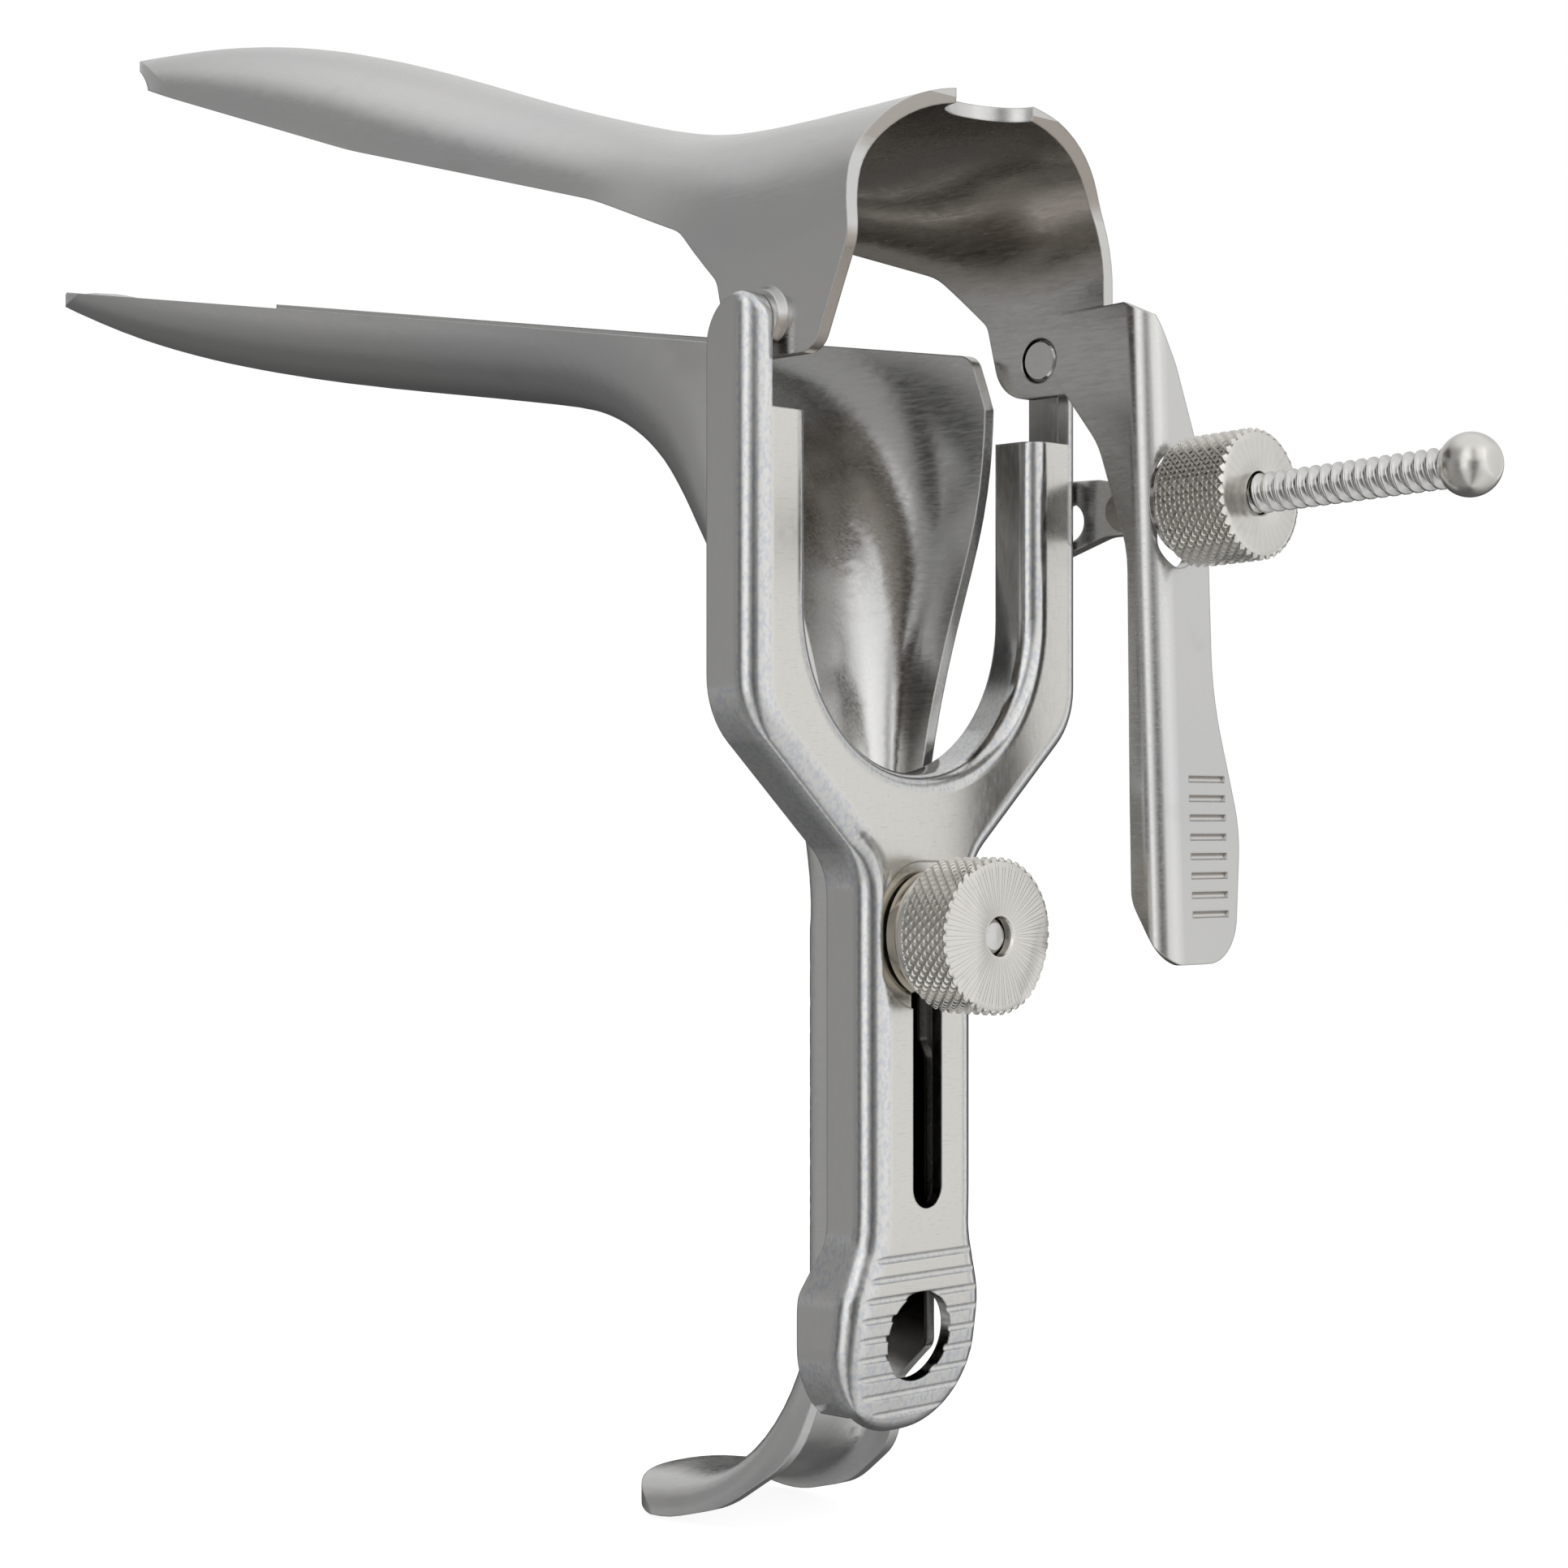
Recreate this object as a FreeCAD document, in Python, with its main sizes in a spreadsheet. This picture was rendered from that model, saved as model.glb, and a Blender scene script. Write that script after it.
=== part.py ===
import FreeCAD, Part
import Sketcher
import math
import os

# Bivalve speculum. Millimetres. +Z is up along the handle, +Y points along the blades away from
# the operator, +X is the side of the thumb lever. The origin is the centre of the grip hole, in the
# middle of its wall. Depths are written from the front face of the frame, which lies at Y = face_y.

doc = FreeCAD.newDocument("bivalve_speculum")
sheet = doc.addObject("Spreadsheet::Sheet", "Sizes")

SIZES = [
    ("face_y", -1.65, "front face of the frame, from the middle of the grip hole's wall"),
    ("gauge", 1.3, "thickness of every pressed sheet"),
    ("frame_depth", 6.0, "depth of the frame's outer flange"),
    ("lip_depth", 5.0, "depth of the lip around the U opening"),
    ("frame_corner", 2.6, "outer radius where the flange is folded"),
    ("lip_corner", 2.0, "outer radius where the lip is folded"),
    ("arm_half", 22.8, "half width over the two arms"),
    ("gap_half", 15.3, "half width of the U opening"),
    ("gap_bottom", 52.6, "height of the bottom of the U opening"),
    ("arm_top", 95.4, "height of the arm ends"),
    ("notch_bottom", 85.0, "height where the arm's front face stops"),
    ("notch_half", 20.4, "half width of the cut above the notch"),
    ("handle_half", 7.35, "half width of the frame's handle"),
    ("neck_low", 43.8, "height where the neck starts to widen"),
    ("neck_high", 57.6, "height where the neck is full width"),
    ("grip_half", 9.3, "half width of the grip"),
    ("grip_end", -9.3, "height of the grip's lower end"),
    ("grip_bend", 98.0, "radius of the grip's backward sweep"),
    ("grip_sweep_top", 14.0, "height where the sweep starts"),
    ("grip_cut", 4.3, "depth left of the right flange beside the grip hole"),
    ("grip_wrap", 8.0, "depth of the flange around the grip"),
    ("passage_depth", 4.1, "depth of the grip's lower flange where the lowered handle passes it"),
    ("passage_gap", 0.35, "side gap of that passage"),
    ("hole_radius", 4.3, "grip hole"),
    ("slot_half", 2.0, "half width of the lift slot"),
    ("slot_low", 14.0, "lower centre of the lift slot"),
    ("groove_pitch", 1.85, "spacing of the grip grooves"),
    ("groove_radius", 0.35, "grip grooves"),
    ("pocket_depth", 0.25, "recess around the clamp washer"),
    ("stud_height", 37.6, "clamp stud axis, blades lowered"),
    ("stud_radius", 1.65, "clamp stud over the thread crests"),
    ("thread_gap", 0.1, "clearance from thread crests to a nut's bore"),
    ("seat_gap", 0.05, "clearance between a washer and its seat"),
    ("clamp_nut_radius", 7.25, "knurled clamp nut"),
    ("clamp_nut_length", 7.2, "clamp nut over its crown"),
    ("clamp_washer_radius", 5.9, "clamp washer"),
    ("clamp_washer_thick", 1.7, "clamp washer"),
    ("pivot_y", 1.8, "blade pivot, from the front face"),
    ("pivot_z", 93.2, "height of the blade pivot"),
    ("ear_gap", 1.15, "side gap between an ear's boss and the arm"),
    ("boss_reach", 0.95, "how far an ear's boss stands out"),
    ("boss_radius", 2.75, "boss pressed out of an ear"),
    ("pivot_radius", 1.0, "pivot screw shank"),
    ("pivot_grip", 1.9, "length of the pivot screw's hole in the arm and its corner"),
    ("pivot_wall", 0.9, "wall left outside the pivot screw's hole"),
    ("pivot_fit", 0.05, "running clearance of the hinges"),
    ("pivot_head", 2.05, "pivot screw head"),
    ("eye_gap", 0.15, "side gap between the rod's eye and the lug"),
    ("rod_y", -6.5, "rod pin, from the front face"),
    ("rod_z", 78.1, "height of the rod pin"),
    ("rod_tilt", 2.2, "upward tilt of the rod and the lever, degrees"),
    ("rod_radius", 1.9, "threaded rod over the crests"),
    ("rod_pitch", 1.27, "thread pitch of the rod"),
    ("rod_eye", 1.8, "thickness of the rod's flat eye"),
    ("ball_radius", 2.9, "end stop of the rod"),
    ("ball_reach", 38.4, "rod pin to the centre of the end stop"),
    ("angle_play", 0.17, "play between the angle washer and the lever, nut backed off"),
    ("seat_reach", 5.9, "rod pin to the lever's spot face"),
    ("angle_nut_radius", 6.2, "knurled angle nut"),
    ("angle_nut_length", 8.7, "angle nut"),
    ("angle_washer_radius", 4.75, "angle washer"),
    ("angle_washer_thick", 0.9, "angle washer"),
    ("lug_thick", 1.5, "lug plate"),
    ("lug_pin_radius", 1.1, "hinge pin of the rod"),
    ("lug_hole_radius", 1.9, "open hole of the lug"),
    ("rivet_radius", 0.8, "lug rivet"),
    ("web_y", 10.9, "back of the lower blade's handle, from the front face"),
    ("inner_half", 5.75, "half width of the lower blade's handle"),
    ("channel_edge", 4.4, "front edge of the lower blade's handle, from the front face"),
    ("lip_gap", 0.35, "gap behind the U lip where the lifted handle passes it"),
    ("bowl_edge", 6.3, "front edge of the bowl, from the front face"),
    ("blade_slope", 9.15, "rise of the lower blade, degrees"),
    ("blade_twist", 4.0, "roll of the lower blade's rims, degrees"),
    ("lower_tip", 135.0, "tip of the lower blade, from the front face"),
    ("upper_tip", 119.3, "tip of the upper blade, from the front face"),
    ("tip_half", 16.0, "half width of the blade ends"),
    ("tip_round", 20.0, "length of the rounded blade end"),
]
for row, (name, value, note) in enumerate(SIZES, 1):
    sheet.set("A%d" % row, note)
    sheet.set("B%d" % row, str(value))
    sheet.setAlias("B%d" % row, name)
doc.recompute()


def s(name):
    return float(sheet.get(name))


V = FreeCAD.Vector
GAUGE = s("gauge")


def at_xz(u, v, depth=0.0):
    return V(u, depth, v)


def at_yz(u, v, depth=0.0):
    return V(depth, u, v)


def rounded(corners, place):
    """Closed wire through corners (u, v, radius), each corner an arc of its radius."""
    edges = []
    ends = []
    count = len(corners)
    for i in range(count):
        u, v, r = corners[i]
        here = V(u, v, 0)
        back = V(*corners[i - 1][:2], 0) - here
        ahead = V(*corners[(i + 1) % count][:2], 0) - here
        back.normalize()
        ahead.normalize()
        if r <= 0:
            ends.append((here, here, None))
            continue
        half = back.getAngle(ahead) / 2
        reach = r / math.tan(half)
        middle = (back + ahead).normalize() * (r / math.sin(half) - r)
        ends.append((here + back * reach, here + ahead * reach, here + middle))
    for i in range(count):
        start, end, middle = ends[i]
        following = ends[(i + 1) % count][0]
        if middle is not None:
            edges.append(Part.Arc(*[place(p.x, p.y) for p in (start, middle, end)]).toShape())
        if (following - end).Length > 1e-6:
            straight = Part.LineSegment(place(end.x, end.y), place(following.x, following.y))
            edges.append(straight.toShape())
    return Part.Wire(edges)


def mirrored(half):
    """Corners of a shape that is the same on both sides of X = 0, from its right half."""
    return half + [(-u, v, r) for u, v, r in reversed(half)]


def prism(wire, start, end, direction):
    face = Part.Face(wire)
    face.translate(direction * start)
    return face.extrude(direction * (end - start))


def spline(points):
    curve = Part.BSplineCurve()
    curve.interpolate(points)
    return curve.toShape()


def cylinder(radius, start, length, direction):
    return Part.makeCylinder(radius, length, start, direction)


def placed(shape, label):
    feature = doc.addObject("Part::Feature", label)
    feature.Label = label
    feature.Shape = shape
    feature.setExpression("Placement.Base.y", "Sizes.face_y")
    return feature


X = V(1, 0, 0)
Y = V(0, 1, 0)
Z = V(0, 0, 1)
sweep_top = s("grip_sweep_top")
wrap = s("grip_wrap")
arm_top = s("arm_top")


def frame_outline(inset):
    """Outer edge of the frame moved inwards, its arm ends left open upwards when inset."""
    top = s("arm_top") + (5 if inset else 0)
    shift = inset * math.tan(math.radians(24.2))
    half = [
        (s("grip_half") - inset, s("grip_end") + inset, 8.6 - inset),
        (s("grip_half") - inset, 3.5, 9.0),
        (s("handle_half") - inset, 9.5, 9.0),
        (s("handle_half") - inset, s("neck_low") + shift, 6.0 + inset),
        (s("arm_half") - inset, s("neck_high") + shift, 8.0 - inset),
        (s("arm_half") - inset, top, 0 if inset else 0.8),
    ]
    return rounded(mirrored(half), at_xz)


def gap_outline(grow):
    """U opening, grown outwards."""
    half = [
        (s("gap_half") + grow, s("gap_bottom") - grow, s("gap_half") + grow - 0.2),
        (s("gap_half") + grow, s("arm_top") + 20, 0),
    ]
    return rounded(mirrored(half), at_xz)


def swept_slab(offset):
    """Everything behind the frame's front surface moved back by offset."""
    radius = s("grip_bend") - offset
    low = s("grip_end") - 2
    turn = math.asin((sweep_top - low) / radius)
    foot = V(0, s("grip_bend") - radius * math.cos(turn), low)
    middle = V(0, s("grip_bend") - radius * math.cos(turn / 2), sweep_top - radius * math.sin(turn / 2))
    bend = V(0, offset, sweep_top)
    edges = [
        Part.LineSegment(V(0, offset, 120), bend).toShape(),
        Part.Arc(bend, middle, foot).toShape(),
        Part.LineSegment(foot, V(0, 30, low)).toShape(),
        Part.LineSegment(V(0, 30, low), V(0, 30, 120)).toShape(),
        Part.LineSegment(V(0, 30, 120), V(0, offset, 120)).toShape(),
    ]
    return prism(Part.Wire(edges), -40, 40, X)


def folded_edges(shape, back):
    """Front edges of the plate: those of the U opening, and those of the outer flange."""
    opening, outer = [], []
    for edge in shape.Edges:
        box = edge.BoundBox
        side = max(abs(box.XMin), abs(box.XMax))
        across = abs(box.ZLength) < 1e-3 and side > 1 and box.XLength > 2 * side - 1e-3 and box.ZMin > 0
        if box.YMax > back or box.ZMin > arm_top - 1 or across or box.YLength > 2:
            continue
        if box.ZMin > s("gap_bottom") - 3 and side < s("gap_half") + GAUGE + 0.1:
            opening.append(edge)
        elif side > 1:
            outer.append(edge)
    return opening, outer


def frame_block(inset, bend, lip_bend):
    """The plate's outside, or its hollow behind the sheet when inset."""
    block = prism(frame_outline(inset), -1, wrap + 4, Y).cut(prism(gap_outline(inset), -2, 40, Y))
    block = block.common(swept_slab(inset))
    for which, radius in ((1, bend), (0, lip_bend)):
        block = block.makeFillet(radius, folded_edges(block, inset + 2.9)[which])
    return block


# Frame: a pressed plate with a folded flange outside and a folded lip around the U opening.
frame = frame_block(0, s("frame_corner"), s("lip_corner"))
frame = frame.cut(frame_block(GAUGE, s("frame_corner") - GAUGE, s("lip_corner") - GAUGE))


def box(x0, x1, y0, y1, z0, z1):
    return Part.makeBox(x1 - x0, y1 - y0, z1 - z0, V(x0, y0, z0))


def side_cut(corners, x0, x1):
    """Solid running along X, bounded by corners (y, z, radius) in the side view."""
    return prism(rounded(corners, at_yz), x0, x1, X)


depth = s("frame_depth")
lip = s("lip_depth")
web_y = s("web_y")
inner = s("inner_half")
# the back edges: deep around the grip, less along the handle and arms, least on the lips
behind = side_cut([
    (depth, 9.0, 3.0), (wrap, 4.0, 3.0), (wrap, -30, 0), (40, -30, 0), (40, 130, 0),
    (-20, 130, 0), (-20, arm_top, 0), (0.8, arm_top, 0), (depth, arm_top - 0.3, 4.8),
], -40, 40)
frame = frame.cut(behind)
frame = frame.cut(prism(gap_outline(GAUGE + 1.2), lip, 30, Y))
frame = frame.cut(side_cut([
    (s("grip_cut"), 9.0, 1.5), (s("grip_cut"), -6.5, 2.0), (30, -9.0, 0), (30, 9.0, 0),
], 2.0, 30))
passage = inner + s("passage_gap")
frame = frame.cut(box(-passage, passage, s("passage_depth"), 30, -20, -4.0))
for side in (-1, 1):
    ends = sorted((side * s("notch_half"), 0))
    frame = frame.cut(box(ends[0], ends[1], -5, 20, s("notch_bottom"), 120))
slot = rounded([
    (s("slot_half"), s("slot_low") - s("slot_half"), s("slot_half") - 0.01),
    (s("slot_half"), s("stud_height") + s("slot_half"), s("slot_half") - 0.01),
    (-s("slot_half"), s("stud_height") + s("slot_half"), s("slot_half") - 0.01),
    (-s("slot_half"), s("slot_low") - s("slot_half"), s("slot_half") - 0.01),
], at_xz)
frame = frame.cut(prism(slot, -2, 3, Y))
hole_turn = math.asin(sweep_top / s("grip_bend"))
hole_way = V(0, math.cos(hole_turn), math.sin(hole_turn))
frame = frame.cut(cylinder(s("hole_radius"), V(0, -s("face_y"), 0) - hole_way * 6, 10, hole_way))
pocket = [(6.3, 30.6, 5.5), (6.3, 44.4, 5.5)]
frame = frame.cut(prism(rounded(mirrored(pocket), at_xz), -2, s("pocket_depth"), Y))
for i in range(9):
    z = 7.6 - i * s("groove_pitch")
    back = s("grip_bend") - math.sqrt(s("grip_bend") ** 2 - (sweep_top - z) ** 2)
    groove = cylinder(s("groove_radius"), V(-12, back - 0.05, z), 24, X)
    frame = frame.cut(groove)
pivot = V(0, s("pivot_y"), s("pivot_z"))
for side in (-1, 1):
    hole_start = s("arm_half") - s("pivot_wall") - s("pivot_grip")
    frame = frame.cut(cylinder(s("pivot_radius"), pivot + X * side * hole_start, s("pivot_grip"), X * side))
arm = s("arm_half")
rivet_y = 4.6
rivet_z = s("rod_z") - 3.2
rivet_at = V(arm - GAUGE - 2, rivet_y, rivet_z)
frame = frame.cut(cylinder(s("rivet_radius"), rivet_at, GAUGE + 4, X))
frame_piece = placed(frame, "frame")


def section(origin, along, half, high, leg, power, up=1):
    """Thin U across a spine: an arch of half width and height, with straight legs to be trimmed."""
    normal = V(0, -along.z, along.y) * up
    outer, inward = [], []
    for inset, line in ((0, outer), (GAUGE, inward)):
        for i in range(15):
            turn = math.pi * i / 14
            c, d = math.cos(turn), math.sin(turn)
            x = math.copysign(abs(c) ** (2 / power), c) * (half - inset)
            rise = abs(d) ** (2 / power) * (high - inset)
            line.append(origin + X * x + normal * (high - rise))
    inward.reverse()
    ends = [outer[0], outer[-1], inward[0], inward[-1]]
    down = normal * leg
    low = [p + down for p in ends]
    straight = [(ends[1], low[1]), (low[1], low[2]), (low[2], ends[2])]
    edges = [spline(outer)] + [Part.LineSegment(a, b).toShape() for a, b in straight]
    straight = [(ends[3], low[3]), (low[3], low[0]), (low[0], ends[0])]
    edges += [spline(inward)] + [Part.LineSegment(a, b).toShape() for a, b in straight]
    return Part.Wire(edges)


def pressed(stations, up=1):
    """Sheet lofted through stations (y, z, slope, half width, arch height, leg, power)."""
    wires = []
    for y, z, slope, *profile in stations:
        angle = math.radians(slope)
        wires.append(section(V(0, y, z), V(0, math.cos(angle), math.sin(angle)), *profile, up))
    return Part.makeLoft(wires, True, False)


def end_trim(tip, half, length, low, high):
    """Everything beyond a half elliptical end, seen from above."""
    start = tip - length
    ahead, across, middle = V(0, tip, 0), V(half, start, 0), V(0, start, 0)
    if length > half:
        arc = Part.Arc(Part.Ellipse(ahead, across, middle), -math.pi / 2, math.pi / 2).toShape()
    else:
        arc = Part.Arc(Part.Ellipse(across, ahead, middle), 0, math.pi).toShape()
    first, last = arc.Vertexes[0].Point, arc.Vertexes[-1].Point
    out = [last, V(last.x * 3, start, 0), V(last.x * 3, tip + 20, 0), V(first.x * 3, tip + 20, 0),
           V(first.x * 3, start, 0), first]
    edges = [arc] + [Part.LineSegment(a, b).toShape() for a, b in zip(out, out[1:])]
    face = Part.Face(Part.Wire(edges))
    face.translate(Z * low)
    return face.extrude(Z * (high - low))


# Lower blade: blade, bowl, handle channel and foot pressed from one sheet.
tip_half = s("tip_half")
straight_top = 38.0
straight_end = 3.0
flank = 3.4
BLADE = [
    (139.0, 114.5, 35, tip_half + 0.3, 1.6, 6, 2.3),
    (132.0, 110.0, 27, tip_half + 0.3, 4.0, 6, 2.3),
    (124.0, 106.4, 20, tip_half, 6.0, 5, 2.3),
    (114.0, 103.2, 14.5, 15.7, 7.3, 4, 2.3),
    (100.0, 99.9, 12, 15.0, 8.0, 4, 2.3),
    (85.0, 97.1, 10, 14.1, 8.2, 4, 2.3),
    (68.0, 94.4, 9, 13.3, 8.4, 4, 2.3),
    (53.0, 92.0, 10, 13.2, 8.8, 4, 2.3),
    (42.0, 89.7, 15, 13.8, 10.0, 5, 2.3),
    (33.0, 85.9, 29, 15.2, 13.0, 8, 2.3),
    (26.2, 80.6, 46, 16.4, 15.0, 12, 2.3),
    (20.4, 73.0, 58, 15.9, 12.0, 9, 2.3),
    (16.0, 64.0, 68, 11.6, 8.0, 5, 2.4),
    (13.4, 56.0, 76, 8.4, 6.0, 4, 2.8),
    (11.7, 48.0, 83, 6.6, 4.4, 4, 3.6),
    (11.0, 42.0, 89, inner, flank + 0.2, 4, 4.6),
    (web_y, straight_top, 90, inner, flank, 4, 5.0),
]
CHANNEL = [(web_y, z, 90, inner, flank, 4, 5.0) for z in (straight_top, straight_end)]
FOOT = [
    (web_y, straight_end, 90, inner, flank, 5, 5.0),
    (web_y + 0.4, -0.5, 95, inner, flank, 6, 4.8),
    (12.8, -5.0, 110, 6.3, 3.7, 6, 4.0),
    (15.6, -9.9, 133, 8.0, 4.2, 3, 3.2),
    (20.0, -13.4, 158, 9.4, 4.3, 2, 2.8),
    (26.0, -15.3, 172, 10.0, 4.0, 1.5, 2.6),
    (35.0, -16.4, 176, 10.0, 3.6, 1.5, 2.6),
]
lower = pressed(BLADE).fuse([pressed(CHANNEL), pressed(FOOT)])
rim_slope = math.tan(math.radians(s("blade_slope")))
rim_end = 8.3
rim_low = 92.9
rim_trim = rounded([
    (-40, 160, 0), (170, 160, 0), (170, rim_low + (170 - rim_end) * rim_slope, 0),
    (rim_end, rim_low, 2.0), (rim_end - 4.0, rim_low - 11.0, 0), (-40, rim_low - 11.0, 0),
], at_yz)
roll = math.tan(math.radians(s("blade_twist")))
rim_face = Part.Face(rim_trim)
rim_face.translate(V(-40, 0, -40 * roll))
lower = lower.cut(rim_face.extrude(V(80, 0, 80 * roll)))
edge = s("channel_edge")
bowl = s("bowl_edge")
passing = s("lip_depth") + s("lip_gap")
lower = lower.cut(side_cut([
    (-40, 110, 0), (bowl, 110, 0), (bowl, 42.4, 2.0), (passing, 39.4, 2.0), (passing, 27.4, 1.0),
    (edge, 25.6, 1.2), (edge, -1.8, 1.5), (8.7, -5.6, 2.0), (10.6, -12.2, 8.0), (18.0, -17.4, 12.0),
    (26.0, -19.5, 14.0), (45, -16.6, 0), (45, -40, 0), (-40, -40, 0),
], -40, 40))
lower = lower.cut(end_trim(s("lower_tip"), tip_half, s("tip_round"), 60, 160))
lower = lower.cut(end_trim(34.0, 10.3, 8.6, -40, 20))
stud = V(0, 0, s("stud_height"))
lower = lower.cut(cylinder(s("stud_radius"), stud + Y * (web_y - 3), 6, Y))
lower_piece = placed(lower, "lower_blade")

# Upper blade: blade, arch and ears from one sheet, the right ear running on into the thumb lever.
ear = arm - GAUGE - s("ear_gap") - s("boss_reach")
ARCH = [
    (-12.0, 114.8, 0, ear, 17.0, 26, 2.3),
    (0.0, 114.6, 0, ear, 17.0, 26, 2.3),
    (9.0, 114.4, 0, ear - 0.2, 16.0, 24, 2.3),
    (18.0, 114.7, 4, 17.4, 12.6, 10, 2.3),
    (28.0, 116.3, 12, 14.4, 10.6, 5, 2.25),
    (40.0, 119.5, 17, 12.9, 10.0, 4, 2.2),
    (55.0, 124.3, 19, 13.1, 9.6, 4, 2.2),
    (75.0, 131.2, 18, 14.4, 9.6, 4, 2.2),
    (92.0, 135.8, 11, 15.6, 9.0, 4, 2.2),
    (104.0, 137.4, 4, 16.2, 7.0, 4, 2.2),
    (112.0, 137.4, -2, 16.3, 4.4, 4, 2.2),
    (118.0, 136.9, -8, 16.3, 2.6, 4, 2.2),
    (124.0, 135.8, -12, 16.3, 1.6, 4, 2.2),
]
upper = pressed(ARCH, -1)
upper = upper.cut(side_cut([
    (140, 142.5, 0), (103.5, 130.4, 30), (70.4, 119.3, 60), (31.5, 108.6, 60), (14.3, 102.6, 5.0),
    (8.4, 97.2, 2.0), (6.6, 89.6, 4.0), (-4.2, 89.6, 2.5), (-8.6, 99.6, 5.0), (-7.2, 107.0, 8.0),
    (-8.4, 113.5, 0), (-8.6, 130, 0), (-30, 130, 0), (-30, 60, 0), (140, 60, 0),
], -40, 40))
upper = upper.cut(side_cut([
    (-6.3, 97.0, 4.0), (-6.2, 107.0, 8.0), (-8.4, 113.5, 0), (-8.6, 118, 0), (-30, 118, 0), (-30, 90, 0),
    (-4.4, 90, 0),
], 4, 40))
upper = upper.cut(cylinder(5.45, V(0, -9.45, 105), 20, Z))
upper = upper.cut(end_trim(s("upper_tip"), tip_half, s("tip_round"), 110, 160))
pin = V(arm - s("eye_gap") - s("rod_eye") / 2, s("rod_y"), s("rod_z"))
face_y = pin.y - s("seat_reach")
ear_in = ear - GAUGE
lever_bend = 2.6


def lever_block(inset):
    """Outside of the thumb lever's angle section, or its hollow when inset."""
    block = box(ear_in + inset, 40, face_y + inset, 10, 20, 110)
    corner = [e for e in block.Edges if e.BoundBox.XMax < ear_in + inset + 0.1
              and e.BoundBox.YMax < face_y + inset + 0.1]
    return block.makeFillet(lever_bend - inset, corner)


lever = lever_block(0).cut(lever_block(GAUGE))
lever_front = rounded([
    (10, 97.6, 0), (ear_in + 0.7, 97.6, 0.5), (ear + 2.8, 91.6, 8.0), (ear + 7.0, 80.5, 10.0),
    (ear + 6.9, 60, 30), (ear + 10.6, 47, 14.0), (ear + 9.2, 34.2, 4.6), (ear_in + 0.8, 34.2, 2.6),
    (ear_in - 0.9, 39, 4.0), (10, 60, 0),
], at_xz)
lever = lever.common(prism(lever_front, -30, 20, Y))
lever = lever.cut(prism(rounded([
    (pin.x + 2.6, pin.z - 6.0, 2.55), (pin.x + 2.6, pin.z + 5.2, 2.55),
    (pin.x - 2.6, pin.z + 5.2, 2.55), (pin.x - 2.6, pin.z - 6.0, 2.55),
], at_xz), -30, 0, Y))
for i in range(8):
    lever = lever.cut(cylinder(0.35, V(ear + 2.8, face_y - 0.1, 51.9 - 1.85 * i), 5.6, X))
lever.rotate(pin, X, -s("rod_tilt"))
lever = lever.common(side_cut([
    (-5.0, 103.0, 0), (-7.0, 98.6, 4.0), (-12.4, 95.9, 1.5), (-20, 96, 0), (-20, 28, 0), (-13.2, 28, 0),
    (-13.2, 34.6, 0), (-9.7, 40.5, 4.0), (-9.5, 50, 0), (-9.2, 74, 12.0), (-5.6, 84.4, 8.0), (0.0, 91.5, 0),
    (1.0, 103, 0),
], 0, 60))
upper = upper.fuse(lever)
reach = s("boss_reach")
for side in (-1, 1):
    at = pivot + X * side * ear
    upper = upper.fuse(Part.makeCone(s("boss_radius"), s("boss_radius") - 0.35, reach, at, X * side))
    upper = upper.cut(cylinder(s("pivot_head") + 0.15, at + X * side * (reach - GAUGE), 3, X * -side))
    upper = upper.cut(cylinder(s("pivot_radius") + s("pivot_fit"), at - X * side * 3, 6, X * side))
upper = upper.removeSplitter()
upper_piece = placed(upper, "upper_blade")


def turned(label, profile, base, axis, angle):
    """Body revolved about its own Z from (radius, height) expressions, then placed."""
    body = doc.addObject("PartDesign::Body", label)
    body.Label = label
    sketch = body.newObject("Sketcher::SketchObject", label + "_profile")
    plane = [f for f in body.Origin.OriginFeatures if f.Name.startswith("XZ_Plane")][0]
    sketch.AttachmentSupport = [(plane, "")]
    sketch.MapMode = "FlatFace"
    points = [V(float(sheet.evalExpression(a)), float(sheet.evalExpression(b)), 0) for a, b in profile]
    count = len(points)
    for i in range(count):
        sketch.addGeometry(Part.LineSegment(points[i], points[(i + 1) % count]), False)
    for i in range(count):
        sketch.addConstraint(Sketcher.Constraint("Coincident", i, 2, (i + 1) % count, 1))
    for i, (radius, height) in enumerate(profile):
        along = ("DistanceX", -2, points[i].x, radius)
        up = ("DistanceY", -1, points[i].y, height)
        for kind, line, value, text in (along, up):
            if text == "0":
                sketch.addConstraint(Sketcher.Constraint("PointOnObject", i, 1, line))
            else:
                index = sketch.addConstraint(Sketcher.Constraint(kind, -1, 1, i, 1, value))
                sketch.setExpression("Constraints[%d]" % index, text)
    turning = body.newObject("PartDesign::Revolution", label + "_turning")
    turning.Profile = sketch
    turning.ReferenceAxis = (sketch, ["V_Axis"])
    turning.Angle = 360
    body.Placement = FreeCAD.Placement(V(0, 0, 0), FreeCAD.Rotation(axis, 1.0))
    for name, text in zip("xyz", base):
        body.setExpression("Placement.Base.%s" % name, text)
    body.setExpression("Placement.Rotation.Angle", angle)
    return body


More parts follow.
